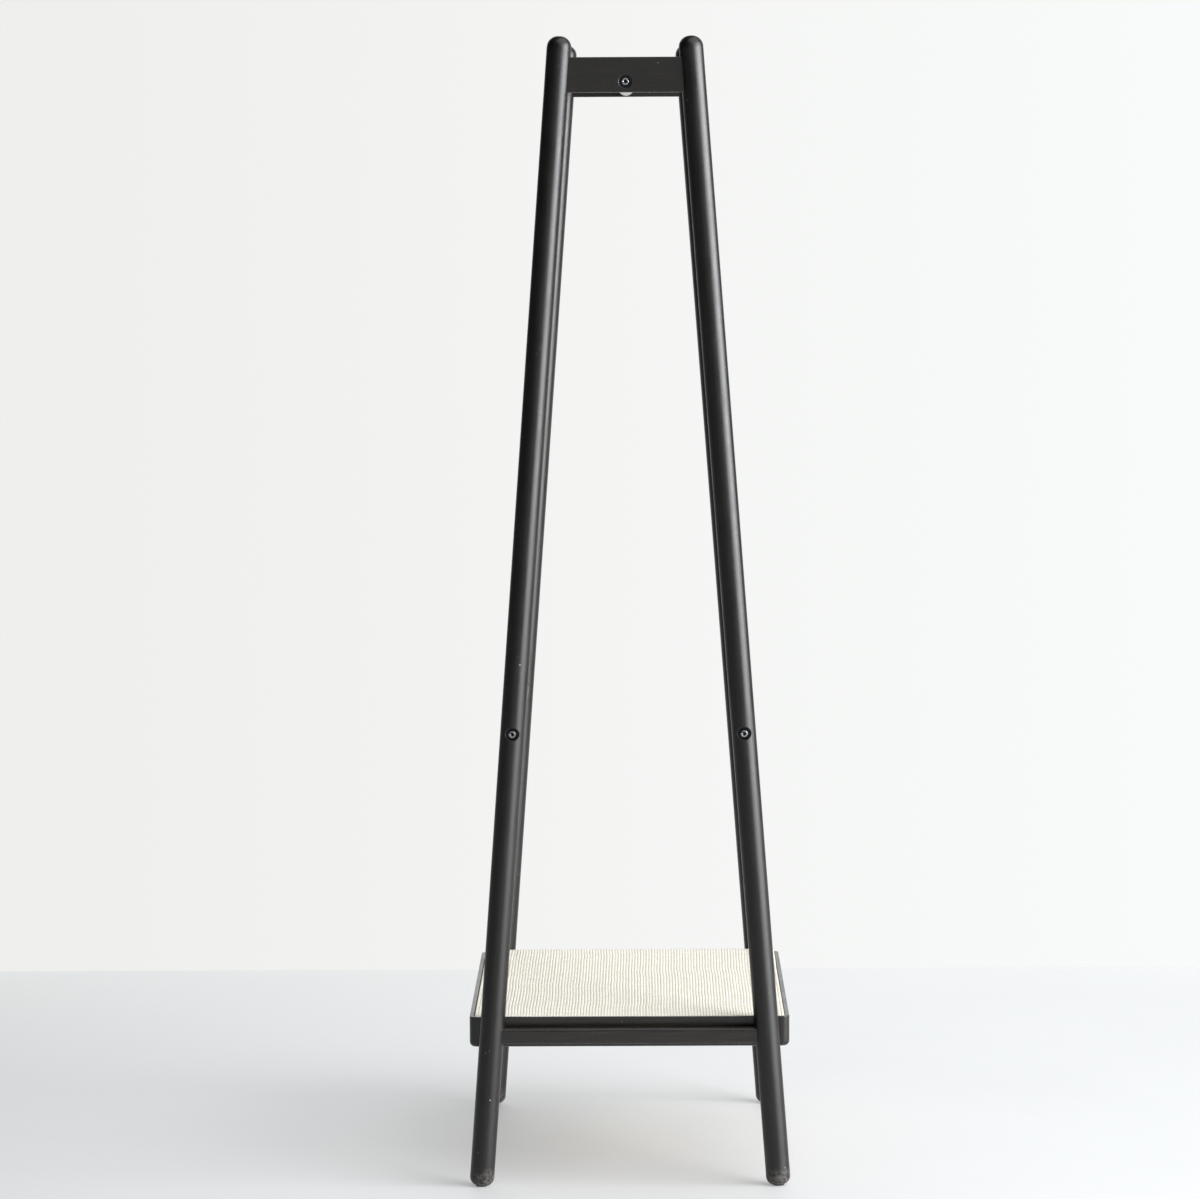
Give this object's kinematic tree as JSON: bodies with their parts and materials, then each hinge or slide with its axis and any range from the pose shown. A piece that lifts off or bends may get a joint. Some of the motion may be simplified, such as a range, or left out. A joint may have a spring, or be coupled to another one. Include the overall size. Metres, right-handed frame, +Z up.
{
  "type": "garment rack",
  "caption": "Freestanding clothes rack: A-shaped end frames of round black wooden legs, joined by a hanging rail, middle rails and a low shelf with an ivory woven mat.",
  "frame": {"origin": "on the floor, midway between the four feet", "axes": "+Z up; +Y along the hanging rail, from the front end frame to the rear one; +X to the right, seen from the front end"},
  "size_m": [0.462, 0.685, 1.65],
  "materials": {
    "leg": "satin black lacquer on turned beech",
    "board": "satin black lacquer on planed beech",
    "rail": "satin black lacquer on turned beech",
    "shelf_board": "satin black lacquer on planed beech",
    "bearer": "black stain, thin lacquer",
    "panel": "unfinished birch plywood",
    "mat": "ivory woven paper cord, ribbed",
    "dowel": "bare fluted beech",
    "bolt": "bright zinc plated steel",
    "washer": "blackened steel",
    "insert_nut": "plain brass",
    "screw": "bright zinc plated steel",
    "foot_pad": "black pressed felt"
  },
  "bodies": {
    "root": {"front_left_leg": "leg", "front_left_foot_pad": "foot_pad", "front_right_leg": "leg", "front_right_foot_pad": "foot_pad", "front_top_board": "board", "front_stretcher": "board", "front_board_dowels": "dowel", "shelf_front_bearer": "bearer", "shelf_front_board": "shelf_board", "rear_left_leg": "leg", "rear_left_foot_pad": "foot_pad", "rear_right_leg": "leg", "rear_right_foot_pad": "foot_pad", "rear_top_board": "board", "rear_stretcher": "board", "rear_board_dowels": "dowel", "shelf_rear_bearer": "bearer", "shelf_rear_board": "shelf_board", "left_middle_rail": "rail", "shelf_left_board": "shelf_board", "right_middle_rail": "rail", "shelf_right_board": "shelf_board", "hanging_rail": "rail", "hanging_rail_bolts": "bolt", "hanging_rail_washers": "washer", "hanging_rail_insert_nuts": "insert_nut", "middle_rail_bolts": "bolt", "middle_rail_washers": "washer", "middle_rail_insert_nuts": "insert_nut", "shelf_panel": "panel", "woven_mat": "mat", "shelf_dowels": "dowel", "shelf_screws": "screw"}
  },
  "joints": []
}
